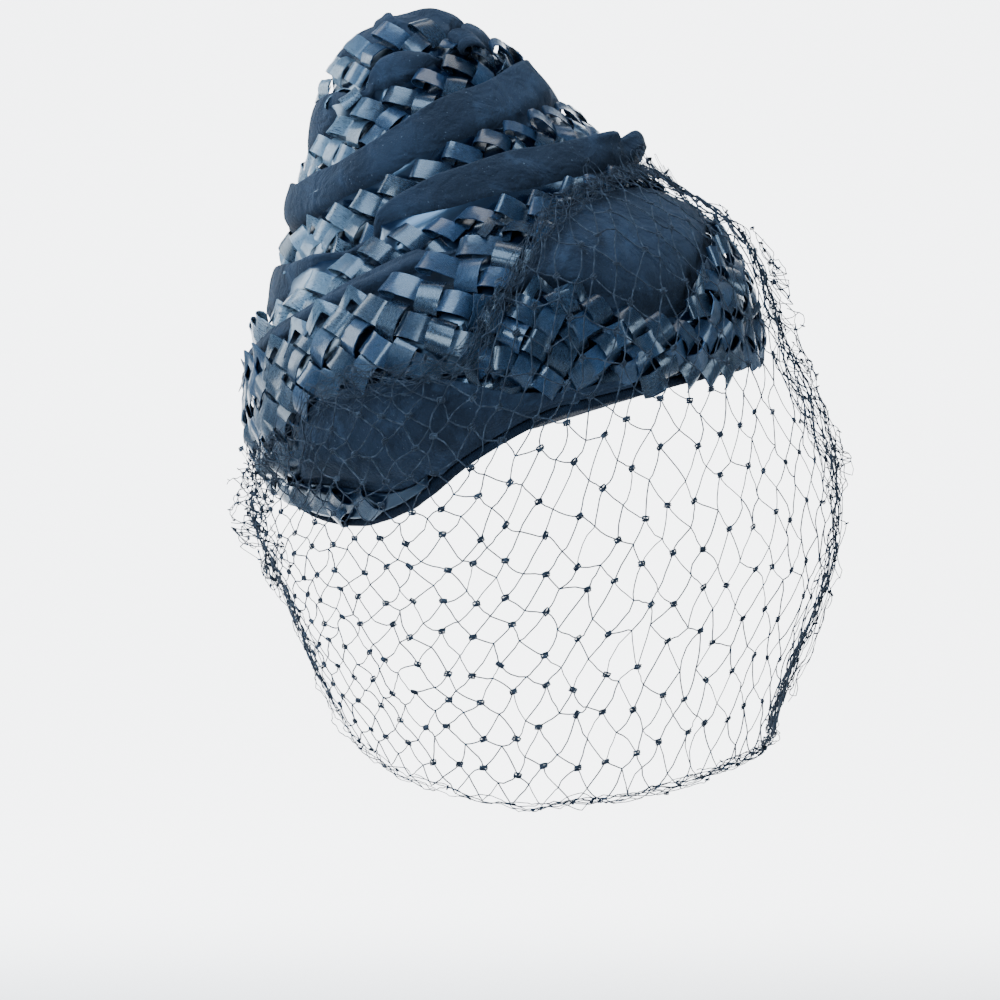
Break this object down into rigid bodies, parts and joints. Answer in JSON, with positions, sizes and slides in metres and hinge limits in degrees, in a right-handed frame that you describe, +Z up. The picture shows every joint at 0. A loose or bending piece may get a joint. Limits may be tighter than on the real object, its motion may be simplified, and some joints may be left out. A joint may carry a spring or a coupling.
{
  "type": "turban hat",
  "caption": "Tall wrapped turban hat of cloth bands and plaited straw wound up a cone, with a draped brim and a knotted net face veil.",
  "frame": {"origin": "middle of the head opening at the level of the rim, where the head holds the hat", "axes": "+Z up as the hat is worn, -Y towards the front of the face, +X towards the wearer's left. The hat's own axis leans 17 degrees from +Z towards -X."},
  "size_m": [0.2493, 0.2535, 0.3183],
  "materials": {
    "cloth": "soft matt crepe, blue-black",
    "facing": "matt ribbon facing, blue-black",
    "straw": "glossy flat plaited raffia, blue-black",
    "net": "fine knotted thread, black"
  },
  "bodies": {
    "root": {"brim_left_band": "cloth", "brim_right_band": "cloth", "base_fold": "cloth", "crown_band": "cloth", "crown_cap": "cloth", "rim_facing": "facing", "brim_lower_plait": "straw", "brim_upper_plait": "straw", "crown_plait": "straw", "veil_heading": "net", "veil_net": "net", "veil_hem": "net"}
  },
  "joints": []
}
